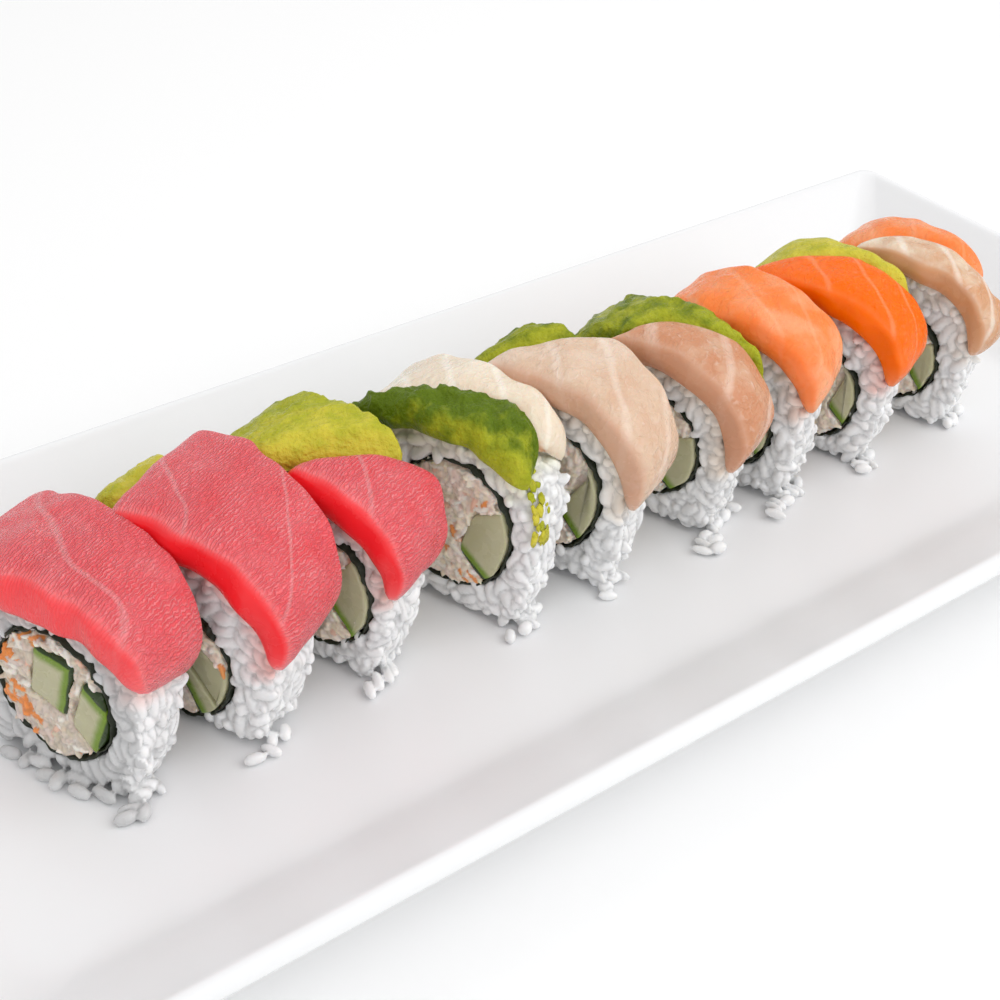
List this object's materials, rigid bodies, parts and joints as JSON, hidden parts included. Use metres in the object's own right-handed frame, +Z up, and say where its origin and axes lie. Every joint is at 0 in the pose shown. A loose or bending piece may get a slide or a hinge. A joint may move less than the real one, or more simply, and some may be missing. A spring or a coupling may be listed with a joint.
{
  "type": "rainbow roll on a plate",
  "caption": "Row of upright rice rolls with fish and avocado draped over them, cut to show their filling, standing on a long shallow rectangular white plate to serve from.",
  "frame": {"origin": "on the table, under the middle of the plate", "axes": "+X along the plate, from the first slice to the last; +Y across it, away from the side that the picture looks from; +Z up"},
  "size_m": [0.34, 0.15, 0.0569],
  "materials": {
    "plate": "glossy white glaze",
    "rice": "moist, translucent white grains",
    "nori": "dark and slightly shiny",
    "crab": "moist cream shreds with orange and pink bits",
    "cucumber": "wet pale flesh with a dark green skin",
    "tuna": "wet pink-red flesh with fine pale fibres",
    "avocado": "soft, green at the edge to pale yellow",
    "white_fish": "wet, translucent cream",
    "pink_fish": "wet, translucent pale peach",
    "salmon": "wet orange with pale lines"
  },
  "bodies": {
    "root": {"avocado_2": "avocado", "avocado_3": "avocado", "avocado_4": "avocado", "avocado_5": "avocado", "avocado_6": "avocado", "avocado_8": "avocado", "crab_1": "crab", "crab_2": "crab", "crab_3": "crab", "crab_4": "crab", "crab_5": "crab", "crab_6": "crab", "crab_7": "crab", "crab_8": "crab", "crab_9": "crab", "cucumber_1a": "cucumber", "cucumber_1b": "cucumber", "cucumber_2a": "cucumber", "cucumber_2b": "cucumber", "cucumber_3": "cucumber", "cucumber_4": "cucumber", "cucumber_5": "cucumber", "cucumber_6": "cucumber", "cucumber_7": "cucumber", "cucumber_8": "cucumber", "cucumber_9": "cucumber", "nori_1": "nori", "nori_2": "nori", "nori_3": "nori", "nori_4": "nori", "nori_5": "nori", "nori_6": "nori", "nori_7": "nori", "nori_8": "nori", "nori_9": "nori", "pink_fish_5": "pink_fish", "pink_fish_6": "pink_fish", "plate": "plate", "rice_1": "rice", "rice_2": "rice", "rice_3": "rice", "rice_4": "rice", "rice_5": "rice", "rice_6": "rice", "rice_7": "rice", "rice_8": "rice", "rice_9": "rice", "salmon_7": "salmon", "salmon_8": "salmon", "salmon_9": "salmon", "tuna_1": "tuna", "tuna_2": "tuna", "tuna_3": "tuna", "white_fish_4": "white_fish", "white_fish_9": "white_fish"}
  },
  "joints": []
}
